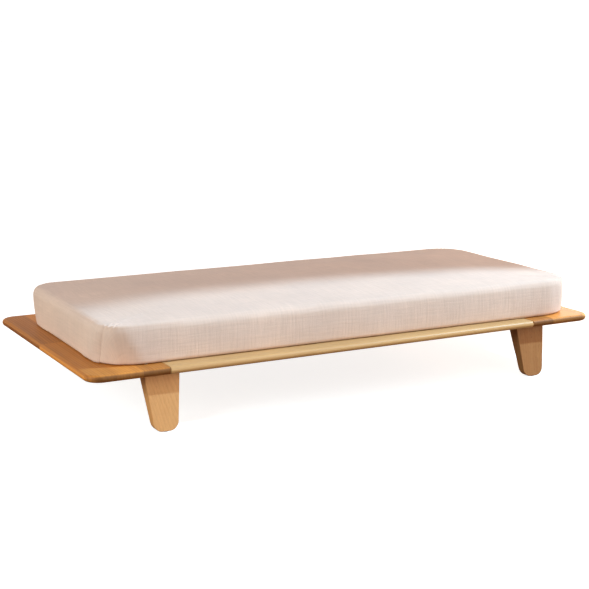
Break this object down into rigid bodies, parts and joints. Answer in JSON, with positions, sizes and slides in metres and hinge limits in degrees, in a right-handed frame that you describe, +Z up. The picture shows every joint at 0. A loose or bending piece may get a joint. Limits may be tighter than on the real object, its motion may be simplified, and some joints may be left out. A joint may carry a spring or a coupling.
{
  "type": "platform bed frame",
  "caption": "Low wooden platform bed frame: rounded deck with dark end panels, pale side rails, splayed tapered board legs, slats, and a mattress in a fitted sheet.",
  "frame": {"origin": "on the floor under the middle of the bed", "axes": "+X along the bed from head to foot, +Y to the back long side, +Z up"},
  "size_m": [2.11, 1.062, 0.3863],
  "materials": {
    "cherry": "satin oiled reddish-brown hardwood, straight grain across the bed",
    "maple": "satin oiled pale hardwood, fine straight grain along each piece",
    "pine": "planed, unfinished softwood",
    "beech": "fluted dowel, raw",
    "zinc_steel": "bright zinc plating",
    "brass": "turned, plain",
    "felt": "dense pressed felt",
    "webbing": "woven cotton tape",
    "ticking": "plain knitted mattress cover over foam",
    "gauze": "crinkled cotton double gauze, matt, pinkish beige"
  },
  "bodies": {
    "frame": {"head_panel": "cherry", "foot_panel": "cherry", "front_rail": "maple", "back_rail": "maple", "head_front_leg": "maple", "head_back_leg": "maple", "foot_front_leg": "maple", "foot_back_leg": "maple", "head_stretcher": "pine", "foot_stretcher": "pine", "front_cleat": "pine", "back_cleat": "pine", "slat_01": "pine", "slat_02": "pine", "slat_03": "pine", "slat_04": "pine", "slat_05": "pine", "slat_06": "pine", "slat_07": "pine", "slat_08": "pine", "slat_09": "pine", "slat_10": "pine", "slat_11": "pine", "slat_12": "pine", "slat_13": "pine", "front_slat_tape": "webbing", "back_slat_tape": "webbing", "rail_dowels": "beech", "leg_bolts": "zinc_steel", "cleat_screws": "zinc_steel", "stretcher_screws": "zinc_steel", "slat_screws": "zinc_steel", "leg_inserts": "brass", "leg_pads": "felt"},
    "mattress": {"mattress_core": "ticking", "fitted_sheet": "gauze"}
  },
  "joints": [
    {"name": "mattress_lift", "type": "slide", "parent": "frame", "child": "mattress", "axis": [0, 0, 1], "range_m": [0, 0.35]}
  ]
}
